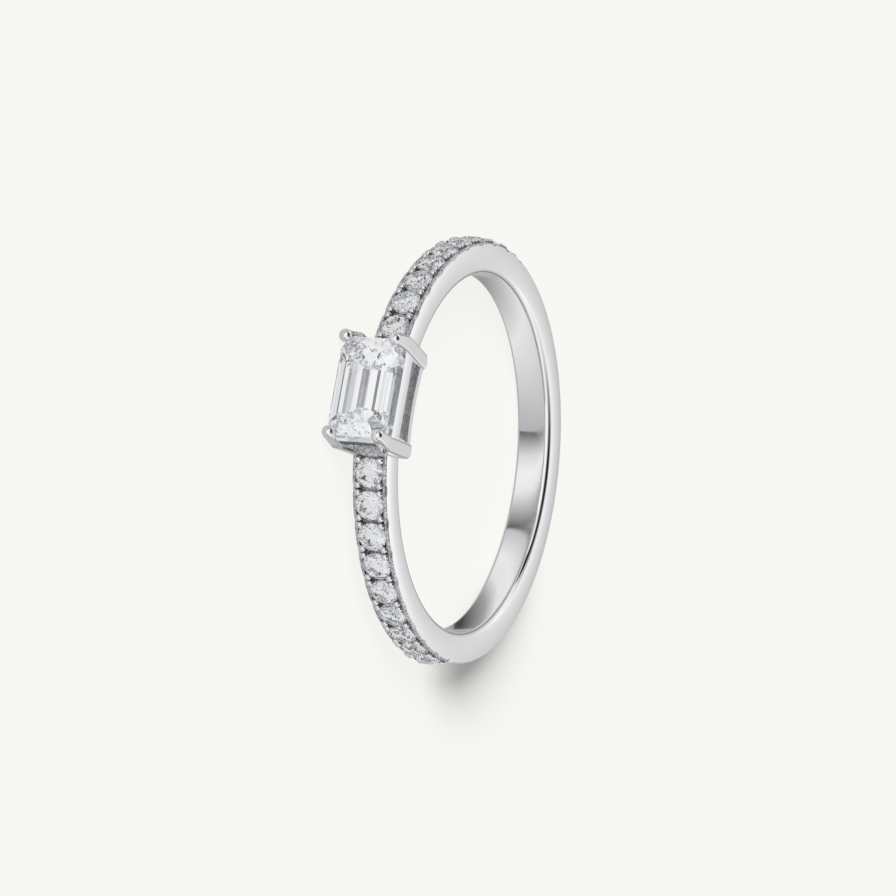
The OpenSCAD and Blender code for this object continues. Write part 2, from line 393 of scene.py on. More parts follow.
class Nodes:
    """Short way to lay out the nodes of one material or world."""

    def __init__(self, tree: bpy.types.NodeTree) -> None:
        """Empties the tree and starts laying nodes."""
        self.tree = tree
        tree.nodes.clear()

    def add(self, kind: str, **settings: object) -> bpy.types.Node:
        """Adds a node by its short type name and sets its properties.

        Args:
            kind: The type's name after ShaderNode.
            **settings: Its properties.

        Returns:
            The node.
        """
        node = self.tree.nodes.new("ShaderNode" + kind)
        for key, value in settings.items():
            setattr(node, key, value)
        return node

    def feed(self, socket: Socket, value: object) -> None:
        """Links an output to a socket, or sets the socket to a plain value."""
        if isinstance(value, Socket):
            self.tree.links.new(value, socket)
        else:
            socket.default_value = value

    def sums(self, operation: str, *values: object) -> Socket:
        """Adds a Math node and returns its result.

        Args:
            operation: The node's operation.
            *values: Sockets or numbers, in order.

        Returns:
            The result.
        """
        node = self.add("Math", operation=operation)
        for socket, value in zip(node.inputs, values):
            self.feed(socket, value)
        return node.outputs[0]

    def between(
        self, value: object, low: float, high: float, to_low: float, to_high: float
    ) -> Socket:
        """Maps a value smoothly from one range to another, held at both ends.

        Args:
            value: The value.
            low: Where the first range starts.
            high: Where it ends.
            to_low: What its start gives.
            to_high: What its end gives.

        Returns:
            The mapped value.
        """
        node = self.add("MapRange", interpolation_type="SMOOTHSTEP")
        for name, number in (
            ("Value", value),
            ("From Min", low),
            ("From Max", high),
            ("To Min", to_low),
            ("To Max", to_high),
        ):
            self.feed(node.inputs[name], number)
        return node.outputs["Result"]

    def ramp(self, value: object, stops: Iterable[tuple[float, float]]) -> Socket:
        """Maps a value to greys through a colour ramp of (place, grey) stops.

        Args:
            value: The value.
            stops: Places from 0 to 1, each with its grey.

        Returns:
            The grey.
        """
        node = self.add("ValToRGB")
        self.feed(node.inputs["Fac"], value)
        band = node.color_ramp
        stops = list(stops)
        while len(band.elements) < len(stops):
            band.elements.new(0.5)
        for element, (place, grey) in zip(band.elements, stops):
            element.position = place
            element.color = (grey, grey, grey, 1)
        return node.outputs["Color"]

    def choice(self, mask: object, other: object, chosen: object) -> Socket:
        """Mixes two colours, each a socket or three plain numbers, by a mask.

        Args:
            mask: The share of the second colour.
            other: The first colour.
            chosen: The second colour.

        Returns:
            The mixed colour.
        """
        mix = self.add("Mix", data_type="RGBA")
        self.feed(mix.inputs[0], mask)
        for socket, value in ((mix.inputs[6], other), (mix.inputs[7], chosen)):
            self.feed(socket, (*value, 1) if isinstance(value, tuple) else value)
        return mix.outputs[2]

    def distance(self, x: object, y: object, point: tuple[float, float]) -> Socket:
        """Distance of a place on the floor from a point given in millimetres.

        Args:
            x: The floor's X, in metres.
            y: The floor's Y, in metres.
            point: The point's X and Y.

        Returns:
            The distance, in metres.
        """
        across = self.sums("SUBTRACT", x, point[0] * MM)
        along = self.sums("SUBTRACT", y, point[1] * MM)
        squares = [self.sums("MULTIPLY", side, side) for side in (across, along)]
        return self.sums("SQRT", self.sums("ADD", *squares))

    def noise(
        self, scale: float, detail: float, stretch: tuple[float, float, float] = (1, 1, 1)
    ) -> Socket:
        """Adds noise on the piece's own coordinates, in metres, and returns its grey.

        Args:
            scale: How fine the noise is.
            detail: How many finer layers it has.
            stretch: Scale of each axis before the noise.

        Returns:
            The grey.
        """
        place = self.add("TexCoord").outputs["Object"]
        mapping = self.add("Mapping")
        self.feed(mapping.inputs["Vector"], place)
        mapping.inputs["Scale"].default_value = stretch
        node = self.add("TexNoise")
        self.feed(node.inputs["Vector"], mapping.outputs[0])
        node.inputs["Scale"].default_value = scale
        node.inputs["Detail"].default_value = detail
        return node.outputs["Fac"]

    def bump(self, height: object, distance: float, strength: float) -> Socket:
        """Turns a height into a bumped normal.

        Args:
            height: The height.
            distance: How much a height of 1 rises, in metres.
            strength: The share of the bump.

        Returns:
            The normal.
        """
        node = self.add("Bump")
        self.feed(node.inputs["Height"], height)
        node.inputs["Distance"].default_value = distance
        node.inputs["Strength"].default_value = strength
        return node.outputs["Normal"]


def principled(name: str, inputs: dict[str, object]) -> tuple[Material, Nodes, bpy.types.Node]:
    """Starts a material with one principled shader on its output.

    Args:
        name: The material's name.
        inputs: Plain values for the shader's inputs, by their names.

    Returns:
        The material, its nodes and the shader.
    """
    material = bpy.data.materials.new(name)
    material.use_nodes = True
    nodes = Nodes(material.node_tree)
    shader = nodes.add("BsdfPrincipled")
    for key, value in inputs.items():
        shader.inputs[key].default_value = value
    nodes.feed(nodes.add("OutputMaterial").inputs["Surface"], shader.outputs[0])
    return material, nodes, shader


@dataclass(frozen=True)
class PolishedMetal:
    """White metal, polished, with the faint waves and hairlines that a buff leaves."""

    colour: tuple[float, float, float, float] = (0.86, 0.865, 0.875, 1)
    roughness: tuple[float, float] = (0.05, 0.1)
    wave_scale: float = 2600
    line_scale: float = 9000
    line_stretch: tuple[float, float, float] = (1, 1, 6)
    line_depth: float = 0.000002
    hairline: float = 0.03

    def make(self) -> Material:
        """Builds the material.

        Returns:
            The material.
        """
        material, nodes, shader = principled(
            "polished_white_metal", {"Base Color": self.colour, "Metallic": 1}
        )
        waves = nodes.between(nodes.noise(self.wave_scale, 4), 0.3, 0.7, *self.roughness)
        nodes.feed(shader.inputs["Roughness"], waves)
        lines = nodes.noise(self.line_scale, 3, self.line_stretch)
        nodes.feed(shader.inputs["Normal"], nodes.bump(lines, self.line_depth, self.hairline))
        return material


@dataclass(frozen=True)
class UnbuffedMetalAndShade:
    """The same metal where no buff reaches: matte and finely pitted, as from the mould or brushed,
    its dark colour painted shade.
    """

    name: str = "cast_metal_painted_shade"
    # Darker than the polished metal: painted shade for the faces that take it.
    colour: tuple[float, float, float, float] = (0.36, 0.37, 0.38, 1)
    roughness: float = 0.55
    grain: float = 9000
    shades: tuple[float, float] = (0.62, 1.35)
    pit_depth: float = 0.00002
    pitting: float = 0.6

    def make(self) -> Material:
        """Builds the material.

        Returns:
            The material.
        """
        material, nodes, shader = principled(
            self.name, {"Metallic": 1, "Roughness": self.roughness}
        )
        pits = nodes.noise(self.grain, 5)
        # Dark, mottled base colour: painted shade, varied at random.
        low, high = (tuple(c * shade for c in self.colour[:3]) for shade in self.shades)
        colour = nodes.choice(nodes.between(pits, 0.35, 0.65, 0, 1), low, high)
        nodes.feed(shader.inputs["Base Color"], colour)
        nodes.feed(shader.inputs["Normal"], nodes.bump(pits, self.pit_depth, self.pitting))
        return material


@dataclass(frozen=True)
class ClearStone:
    """Colourless faceted stone with high refraction."""

    name: str = "clear_stone"
    index: float = 2.42
    tint: tuple[float, float, float, float] = (0.96, 0.977, 1, 1)

    def make(self) -> Material:
        """Builds the material."""
        inputs = {
            "Base Color": self.tint,
            "Roughness": 0,
            "IOR": self.index,
            "Transmission Weight": 1,
        }
        return principled(self.name, inputs)[0]


# ---- the band and its shoulders ----


@dataclass
class Shoulders:
    """The paved part of the band on both sides of the large stone."""

    stones: int = 9
    first_angle: float = 20.6
    pitch: float = 8.9
    stone_diameter: float = 1.36
    girdle_radius: float = 9.66
    pavilion: float = 0.56
    seat_bottom: float = 0.06
    seat_room: float = 0.01
    seat_drop: float = 0.1
    channel_half: float = 0.676
    channel_depth: float = 0.2
    channel_steps: int = 60
    bead_diameter: float = 0.34
    end_bead_diameter: float = 0.42
    bead_height: float = 0.53
    bead_angle: float = 1.05
    bead_rise: float = 0.04
    # Bead faces below this height take the dark metal: painted shade.
    bead_shade_below: float = 0.08
    scallop_radius: float = 1.2
    scallop_tilt: float = 32
    scallop_depth: float = 0.12

    def angles(self) -> list[float]:
        """Angles of all stones, in degrees, the far shoulder's first."""
        steps = [self.first_angle + k * self.pitch for k in range(self.stones)]
        return [-a for a in reversed(steps)] + steps

    def channels(self) -> Piece:
        """Makes the cutters for the cut between the rails of both shoulders.

        Spin turns against the sense of its angle here, so the angle is given negative.

        Returns:
            The cutters, as one piece.
        """
        span = self.stones * self.pitch
        start = self.first_angle - self.pitch / 2
        parts = []
        for first in (start, -start - span):
            part = new_block(
                "channel",
                Vector((BAND_RADIUS - self.channel_depth, -0.5, -self.channel_half)),
                Vector((BAND_RADIUS + 1, 0.5, self.channel_half)),
            )
            start_edit(part)
            pick(Part.FACE, lambda middle, normal: normal.y < 0.5)
            bpy.ops.mesh.delete(type="FACE")
            bpy.ops.mesh.select_all(action="SELECT")
            bpy.ops.transform.translate(value=(0, -0.5, 0))
            bpy.ops.mesh.spin(
                steps=self.channel_steps,
                angle=-math.radians(span),
                center=(0, 0, 0),
                axis=(0, 0, 1),
            )
            part = end_edit()
            part.data.transform(Matrix.Rotation(math.radians(first), 4, "Z"))
            tidy_normals(part)
            parts.append(part)
        return joined(parts, "channels")

    def seats(self) -> Piece:
        """Makes the cutters for the stones' seats: a cone with a straight wall above it.

        Returns:
            The cutters, as one piece.
        """
        seat = start_with(
            "cone",
            "seat",
            vertices=40,
            radius1=self.seat_bottom,
            radius2=self.stone_diameter / 2 + self.seat_room,
            depth=self.pavilion,
        )
        seat.data.transform(Matrix.Translation((0, 0, -self.seat_drop - self.pavilion / 2)))
        start_edit(seat)
        pick(Part.FACE, lambda middle, normal: normal.z > 0.9)
        bpy.ops.mesh.extrude_region_move(TRANSFORM_OT_translate={"value": (0, 0, 0.5)})
        end_edit()
        places = [outward(angle, self.girdle_radius) for angle in self.angles()]
        cutters = [copy_of(seat, "seat", place) for place in places]
        drop(seat)
        return joined(cutters, "seats")

    def scallops(self) -> Piece:
        """Makes the cutters for the scallops filed between stones, on both side faces.

        Returns:
            The cutters, as one piece.
        """
        post = new_post("scallop", self.scallop_radius, -0.3, 0.9, 72)
        reach = self.scallop_radius / math.cos(math.radians(self.scallop_tilt))
        cutters = []
        for side in (-1, 1):
            for k in range(1, self.stones + 1):
                angle = side * (self.first_angle + (k - 0.5) * self.pitch)
                for face in (-1, 1):
                    out = face * (BAND_WIDTH / 2 - self.scallop_depth + reach)
                    tilt = math.radians(90 + face * self.scallop_tilt)
                    place = (
                        Matrix.Rotation(math.radians(angle), 4, "Z")
                        @ Matrix.Translation((BAND_RADIUS, 0, out))
                        @ Matrix.Rotation(tilt, 4, "Y")
                    )
                    cutters.append(copy_of(post, "scallop", place))
        drop(post)
        return joined(cutters, "scallops")

    def beads(self, metal: Material, matte_and_shade: Material) -> Piece:
        """Makes the beads: short domed posts, four beside each stone.

        Args:
            metal: The polished metal of their tops.
            matte_and_shade: The matte metal of their undersides, dark as painted shade.

        Returns:
            All beads, as one piece.
        """
        bead = start_with("uv_sphere", "bead", segments=16, ring_count=10, radius=0.5)
        start_edit(bead)
        pick(Part.VERT, lambda place, normal: place.z < -0.1)
        bpy.ops.transform.translate(value=(0, 0, -0.8))
        end_edit()
        # The bead undersides take the dark metal: painted shade that outlines each bead.
        matte_and_shade_faces(bead, metal, matte_and_shade, lambda middle, normal: middle.z < self.bead_shade_below)
        copies = []
        for side in (-1, 1):
            for k in range(self.stones):
                for turn in (-1, 1):
                    edge = self.first_angle + (k + turn / 2) * self.pitch
                    angle = side * (edge - turn * self.bead_angle)
                    size = self.end_bead_diameter if k == 0 and turn < 0 else self.bead_diameter
                    for face in (-1, 1):
                        place = (
                            outward(angle, BAND_RADIUS + self.bead_rise)
                            @ Matrix.Translation((-face * self.bead_height, 0, 0))
                            @ Matrix.Diagonal((size, size, size, 1))
                        )
                        copies.append(copy_of(bead, "bead", place))
        drop(bead)
        beads = joined(copies, "stone_beads")
        return finish(beads, 60, False)


@dataclass
class Band:
    """The round band, with one section all the way, into which the shoulders are cut."""

    inner_round: float = 0.24
    outer_round: float = 0.07
    crown_tilt: float = 5.5
    crown_reach: float = 0.46
    steps: int = BAND_STEPS
    # How deep the edge faces reach that take the darker metal as painted shade.
    matte_and_shade_depth: float = 0.4
    rail_margin: float = 0.05

    def ring(self) -> Piece:
        """Spins the rounded section, its side faces softly crowned, into the plain band.

        Returns:
            The plain band.
        """
        middle = (BORE_RADIUS + BAND_RADIUS) / 2
        thick = BAND_RADIUS - BORE_RADIUS
        tilt = math.radians(self.crown_tilt)
        apex = BAND_WIDTH / 2 + self.crown_reach * math.tan(tilt / 2)
        corner = apex - thick / 2 * math.tan(tilt)
        band = start_with("plane", "band", size=1)
        band.data.transform(
            Matrix.Translation((middle, 0, 0))
            @ Matrix.Rotation(math.pi / 2, 4, "X")
            @ Matrix.Diagonal((thick, 2 * corner, 1, 1))
        )
        start_edit(band)
        pick(Part.EDGE, lambda place, along: abs(along.x) > 0.9)
        bpy.ops.mesh.subdivide(number_cuts=1)
        pick(
            Part.EDGE,
            lambda place, along: abs(along.z) > 0.9 and abs(place.x - middle) < 0.01,
        )
        bpy.ops.mesh.dissolve_edges(use_verts=False)
        for side in (-1, 1):
            pick(
                Part.VERT,
                lambda place, normal: abs(place.x - middle) < 0.01 and place.z * side > 0,
            )
            bpy.ops.transform.translate(value=(0, 0, side * (apex - corner)))
        pick(Part.VERT, lambda place, normal: abs(place.x - middle) < 0.01)
        bevel(self.crown_reach, 8, corners=True)
        pick(Part.VERT, lambda place, normal: place.x < BORE_RADIUS + 1e-3)
        bevel(self.inner_round, 7, corners=True)
        pick(Part.VERT, lambda place, normal: place.x > BAND_RADIUS - 1e-3)
        bevel(self.outer_round, 4, corners=True)
        bpy.ops.mesh.select_all(action="SELECT")
        bpy.ops.mesh.delete(type="ONLY_FACE")
        bpy.ops.mesh.select_all(action="SELECT")
        bpy.ops.mesh.spin(
            steps=self.steps, angle=2 * math.pi, center=(0, 0, 0), axis=(0, 0, 1)
        )
        end_edit()
        tidy_normals(band)
        return band

    def build(
        self, shoulders: Shoulders, room: Piece, metal: Material, matte_and_shade: Material
    ) -> Piece:
        """Cuts the shoulders and the room under the large stone into the band.

        Args:
            shoulders: The paved shoulders, which give their cutters.
            room: The cutter for the room under the large stone.
            metal: The polished metal.
            matte_and_shade: The matte metal under the setting's ends, on the rails and between
                them, darker there as painted shade.

        Returns:
            The finished band.
        """
        band = self.ring()
        combine(band, shoulders.channels(), Cut.REMOVE)
        combine(band, shoulders.seats(), Cut.REMOVE)
        combine(band, shoulders.scallops(), Cut.REMOVE)
        combine(band, room, Cut.REMOVE)
        start = math.radians(shoulders.first_angle - shoulders.pitch / 2)
        end = start + math.radians(shoulders.stones * shoulders.pitch)
        floor = BAND_RADIUS - shoulders.channel_depth

        def unbuffed_or_shaded(middle: Vector, normal: Vector) -> bool:
            """Whether a face is under the setting's ends, on or between rails, or in a scallop.

            Args:
                middle: The face's middle.
                normal: Its normal.

            Returns:
                Whether it takes the matte metal, dark as painted shade.
            """
            reach = math.hypot(middle.x, middle.y)
            turn = abs(math.atan2(middle.y, middle.x))
            rail = turn < end and abs(middle.z) > shoulders.channel_half - self.rail_margin
            if 0.3 <= abs(normal.z) < 0.97:
                return rail and turn > start and reach > BAND_RADIUS - self.matte_and_shade_depth
            return abs(normal.z) < 0.3 and (
                ((turn < start + 0.002 or rail) and reach > BAND_RADIUS - 0.01)
                or (abs(reach - floor) < 0.01 and abs(middle.z) < shoulders.channel_half)
            )

        # Faces that pass take the darker metal: painted shade on a matte finish.
        matte_and_shade_faces(band, metal, matte_and_shade, unbuffed_or_shaded)
        return finish(band, 25)


# ---- the setting ----


@dataclass
class Setting:
    """Four prongs on two end walls and two railed side walls, around the large stone."""

    feet_l: float = 4.24
    tips_l: float = 4.48
    tips_w: float = 2.42
    tip_radius: float = 0.3
    tip_x: float = 11.4
    shoulder_x: float = 10.3
    prong_w: float = 0.7
    prong_d: float = 0.58
    claw_w: float = 0.5
    prong_round: float = 0.12
    lean: float = 0.11
    splay: float = 0.23
    rail_top: float = 10.17
    window_top: float = 9.41
    lower_rail: float = 0.35
    rail_setback: float = 0.1
    rail_crown: float = 0.045
    wall_t: float = 0.5
    panel_depth: float = 0.18
    rim_x: float = 10.66
    end_wall_t: float = 0.37
    wall_recess: float = 0.32
    scoop_radius: float = 0.8
    scoop_depth: float = 0.2
    scoop_drop: float = 0.72
    hole_half: tuple[float, float] = (1.3, 0.5)
    edge_round: float = 0.035
    foot_x: float = 7.8
    cavity_floor: float = 9.0
    foot_round: float = 0.4
    foot_start: float = -0.25

    def __post_init__(self) -> None:
        """Works out the sizes that follow from the others."""
        self.lean_angle = math.atan(self.lean / (self.tip_x - BORE_RADIUS))
        self.splay_angle = math.atan(self.splay / (self.shoulder_x - BORE_RADIUS))
        self.foot_half_l = self.feet_l / 2
        self.foot_z = self.tips_w / 2 - self.lean
        self.wall_face = self.foot_z + self.prong_d / 2 - self.rail_setback
        self.end_face = self.prong_w / 2 - self.wall_recess

    def splayed(self, end: int) -> Matrix:
        """Place at one end of the setting, with X along the splay of its prongs."""
        return Matrix.Translation((BORE_RADIUS, end * self.foot_half_l, 0)) @ Matrix.Rotation(
            end * self.splay_angle, 4, "Z"
        )

    def room(self) -> Piece:
        """Makes the cutter for the room under the stone and the light hole below it.

        Returns:
            The cutter.
        """
        half_l = self.foot_half_l + self.end_face - self.end_wall_t - 0.03
        half_z = self.wall_face - self.wall_t + 0.02
        hole_l, hole_z = self.hole_half
        room = new_block(
            "room",
            Vector((self.cavity_floor, -half_l, -half_z)),
            Vector((self.tip_x, half_l, half_z)),
        )
        hole = new_block(
            "light_hole",
            Vector((self.foot_x - 1, -hole_l, -hole_z)),
            Vector((self.cavity_floor + 1, hole_l, hole_z)),
        )
        combine(room, hole, Cut.JOIN)
        return room

    def prong_middle(self, end: int, side: int, x: float) -> Vector:
        """Middle of a prong at one height below its shoulder."""
        rise = x - BORE_RADIUS
        return Vector(
            (
                x,
                end * (self.foot_half_l + rise * math.tan(self.splay_angle)),
                side * (self.foot_z + rise * math.tan(self.lean_angle)),
            )
        )

    def prong(self, end: int, side: int) -> Piece:
        """Makes one prong: a bar that leans out, narrows to a claw and ends in a domed tip.

        Args:
            end: The end of the setting, -1 or 1 along Y.
            side: The side, -1 or 1 along Z.

        Returns:
            The prong.
        """
        foot = self.prong_middle(end, side, self.foot_x)
        shoulder = self.prong_middle(end, side, self.shoulder_x)
        tip = Vector((self.tip_x, end * self.tips_l / 2, side * self.tips_w / 2))
        half = Vector((0, self.prong_w / 2, self.prong_d / 2))
        bar = new_block("prong", foot - half, foot + half + Vector((0.5, 0, 0)))
        start_edit(bar)
        pick(Part.FACE, lambda middle, normal: normal.x > 0.9)
        bpy.ops.transform.translate(value=shoulder - foot - Vector((0.5, 0, 0)))
        bpy.ops.mesh.extrude_region_move(TRANSFORM_OT_translate={"value": tip - shoulder})
        bpy.ops.transform.resize(
            value=(1, self.claw_w / self.prong_w, self.claw_w / self.prong_d),
            center_override=tip,
        )
        pick(Part.EDGE, lambda middle, along: abs(along.x) > 0.8)
        bevel(self.prong_round, 4)
        end_edit()
        dome = start_with(
            "uv_sphere", "dome", segments=32, ring_count=20, radius=self.tip_radius
        )
        dome.data.transform(Matrix.Translation(tip) @ Matrix.Rotation(math.pi / 2, 4, "Y"))
        combine(bar, dome, Cut.JOIN)
        return bar

    def side_wall(self, side: int) -> Piece:
        """Makes one long wall, with its sunk panel between two rails.

        Args:
            side: The side, -1 or 1 along Z.

        Returns:
            The wall.
        """
        face, wall_half = self.wall_face, self.foot_half_l + 0.1
        near, far = sorted((side * (face - self.wall_t), side * face))
        wall = new_block(
            "side_wall",
            Vector((self.foot_x, -wall_half, near)),
            Vector((self.rail_top, wall_half, far)),
        )
        start_edit(wall)
        rail = self.rail_top - self.window_top
        for step in range(1, 8):
            level = self.window_top + rail * step / 8
            bpy.ops.mesh.select_all(action="SELECT")
            bpy.ops.mesh.bisect(plane_co=(level, 0, 0), plane_no=(1, 0, 0))
        for step in range(1, 9):
            level = self.window_top + rail * step / 8
            pick(
                Part.VERT,
                lambda place, normal: abs(place.x - level) < 1e-3 and abs(place.z) > face - 1e-3,
            )
            drop_in = side * self.rail_crown * (step / 8) ** 2
            bpy.ops.transform.translate(value=(0, 0, -drop_in))
        end_edit()
        panel_half = self.foot_half_l - self.prong_w / 2 - 0.01
        near, far = sorted((side * (face - self.panel_depth), side * (face + 0.1)))
        panel = new_block(
            "panel",
            Vector((BORE_RADIUS, -panel_half, near)),
            Vector((self.window_top, panel_half, far)),
        )
        combine(
            panel, new_post("bore", BORE_RADIUS + self.lower_rail, -4, 4, 256), Cut.REMOVE
        )
        combine(wall, panel, Cut.REMOVE)
        wall.data.transform(
            Matrix.Translation((BORE_RADIUS, 0, side * face))
            @ Matrix.Rotation(-side * self.lean_angle, 4, "Y")
            @ Matrix.Translation((-BORE_RADIUS, 0, -side * face))
        )
        return wall

    def end_wall(self, end: int) -> Piece:
        """Makes the wall between two prongs, scooped out below its rim.

        Args:
            end: The end of the setting, -1 or 1 along Y.

        Returns:
            The wall.
        """
        near, far = sorted((end * (self.end_face - self.end_wall_t), end * self.end_face))
        wall = new_block(
            "end_wall",
            Vector((self.foot_x - BORE_RADIUS, near, -self.foot_z)),
            Vector((self.rim_x - BORE_RADIUS, far, self.foot_z)),
        )
        scoop = new_post("scoop", self.scoop_radius, -3, 3, 96)
        out = end * (self.end_face + self.scoop_radius - self.scoop_depth)
        scoop.data.transform(
            Matrix.Translation((self.rim_x - self.scoop_drop - BORE_RADIUS, out, 0))
        )
        combine(wall, scoop, Cut.REMOVE)
        wall.data.transform(self.splayed(end))
        return wall

    def foot_corner(self, end: int) -> Piece:
        """Makes the cutter that rounds both corners of the foot at one end.

        Args:
            end: The end of the setting, -1 or 1 along Y.

        Returns:
            The cutter.
        """
        face, r, start = self.prong_w / 2, self.foot_round, self.foot_start
        near, far = sorted((end * (face - r), end * (face + 1)))
        corner = new_block("corner", Vector((-1, near, -2)), Vector((start + r, far, 2)))
        post = new_post("corner_round", r, -3, 3, 96)
        post.data.transform(Matrix.Translation((start + r, end * (face - r), 0)))
        combine(corner, post, Cut.REMOVE)
        corner.data.transform(self.splayed(end))
        return corner

    def build(self, metal: Material, matte_and_shade: Material) -> Piece:
        """Builds the setting as one piece of metal.

        Args:
            metal: The polished metal.
            matte_and_shade: The matte metal of the sunk panels and the scooped end walls, dark
                there as painted shade.

        Returns:
            The finished setting.
        """
        foot_z = self.wall_face - self.panel_depth - 0.02
        setting = new_block(
            "setting",
            Vector((self.foot_x, -self.foot_half_l, -foot_z)),
            Vector((self.cavity_floor + 0.3, self.foot_half_l, foot_z)),
        )
        for sign in (-1, 1):
            combine(setting, self.side_wall(sign), Cut.JOIN)
            combine(setting, self.end_wall(sign), Cut.JOIN)
        combine(setting, self.room(), Cut.REMOVE)
        for end in (-1, 1):
            for side in (-1, 1):
                combine(setting, self.prong(end, side), Cut.JOIN)
        for end in (-1, 1):
            combine(setting, self.foot_corner(end), Cut.REMOVE)
        combine(setting, new_post("bore", BORE_RADIUS, -4, 4, BAND_STEPS), Cut.REMOVE)
        tidy_normals(setting)
        apply_modifier(
            setting,
            "BEVEL",
            width=self.edge_round,
            segments=3,
            limit_method="ANGLE",
            angle_limit=math.radians(40),
        )
        low, high = BORE_RADIUS + self.lower_rail, self.window_top
        half_l = self.foot_half_l - 0.2
        scooped = self.foot_half_l + self.end_face - self.scoop_depth - 0.05
        inner_z = self.foot_z - self.prong_d / 2 + 0.06

        def unbuffed_or_shaded(middle: Vector, normal: Vector) -> bool:
            """Whether a face is the bottom of a sunk panel or of a scooped end wall.

            Args:
                middle: The face's middle.
                normal: Its normal.

            Returns:
                Whether it takes the matte metal, dark as painted shade.
            """
            rise = middle.x - BORE_RADIUS
            face = self.wall_face + rise * math.tan(self.lean_angle) - self.panel_depth
            panel = (
                abs(normal.z) > 0.9
                and abs(abs(middle.z) - face) < 0.04
                and low - 0.1 < middle.x < high
                and abs(middle.y) < half_l
            )
            scoop = (
                abs(normal.y) > 0.1
                and normal.y * middle.y > 0
                and middle.x < self.rim_x - 0.14
                and abs(middle.z) < inner_z + rise * math.tan(self.lean_angle)
                and abs(middle.y) > scooped + rise * math.tan(self.splay_angle)
            )
            return panel or scoop

        # Faces that pass take the dark metal: painted shade in the sunk panels and scoops, on a
        # matte finish.
        matte_and_shade_faces(setting, metal, matte_and_shade, unbuffed_or_shaded)
        return finish(setting, 35)


# ---- the stones ----


def hull_of(name: str, rings: list[Piece]) -> Piece:
    """Wraps stacked outlines in flat facets.

    Args:
        name: The name of the stone.
        rings: Flat outlines, each one object, which are used up.

    Returns:
        The stone.
    """
    stone = joined(rings, name)
    start_edit(stone)
    bpy.ops.mesh.select_all(action="SELECT")
    bpy.ops.mesh.delete(type="ONLY_FACE")
    bpy.ops.mesh.select_all(action="SELECT")
    bpy.ops.mesh.convex_hull(delete_unused=True, join_triangles=False)
    bpy.ops.mesh.select_all(action="SELECT")
    bpy.ops.mesh.remove_doubles(threshold=1e-5)
    bpy.ops.mesh.dissolve_limited(angle_limit=math.radians(0.3))
    bpy.ops.mesh.normals_make_consistent(inside=False)
    end_edit()
    return stone


@dataclass
class StepCutStone:
    """The large stone: a rectangle with cut corners, in steps above and below its girdle."""

    length: float = 4.6
    width: float = 2.88
    corner: float = 0.52
    girdle_x: float = 11.08
    girdle_t: float = 0.06
    crown: tuple[tuple[float, float], ...] = (
        (0, 0), (0.222, 0.155), (0.458, 0.273), (0.585, 0.313),
    )
    pavilion: tuple[tuple[float, float], ...] = (
        (0.148, 0.185), (0.978, 1.008), (1.206, 1.224), (1.41, 1.35),
    )

    def outline(self, inset: float, height: float) -> Piece:
        """Makes the stone's outline at one level, as a plane with cut corners.

        Args:
            inset: How far it is inside the widest outline.
            height: Its X.

        Returns:
            The outline.
        """
        level = start_with("plane", "level", size=1)
        half_l, half_w = self.length / 2 - inset, self.width / 2 - inset
        level.data.transform(Matrix.Diagonal((2 * half_l, 2 * half_w, 1, 1)))
        cut = min(self.corner * (1 - 0.55 * inset / (self.width / 2)), half_w * 0.8)
        start_edit(level)
        bpy.ops.mesh.select_all(action="SELECT")
        bevel(cut, 1, corners=True)
        end_edit()
        level.data.transform(
            Matrix(((0, 0, 1, height), (1, 0, 0, 0), (0, 1, 0, 0), (0, 0, 0, 1)))
        )
        return level

    def build(self, material: Material) -> Piece:
        """Builds the stone from its levels and dresses it.

        Args:
            material: The stone's material.

        Returns:
            The finished stone.
        """
        levels = [self.outline(inset, self.girdle_x - depth) for inset, depth in self.pavilion]
        levels.append(self.outline(0, self.girdle_x))
        levels += [
            self.outline(inset, self.girdle_x + self.girdle_t + rise) for inset, rise in self.crown
        ]
        stone = hull_of("step_cut_stone", levels)
        stone.data.materials.append(material)
        return finish(stone, None)


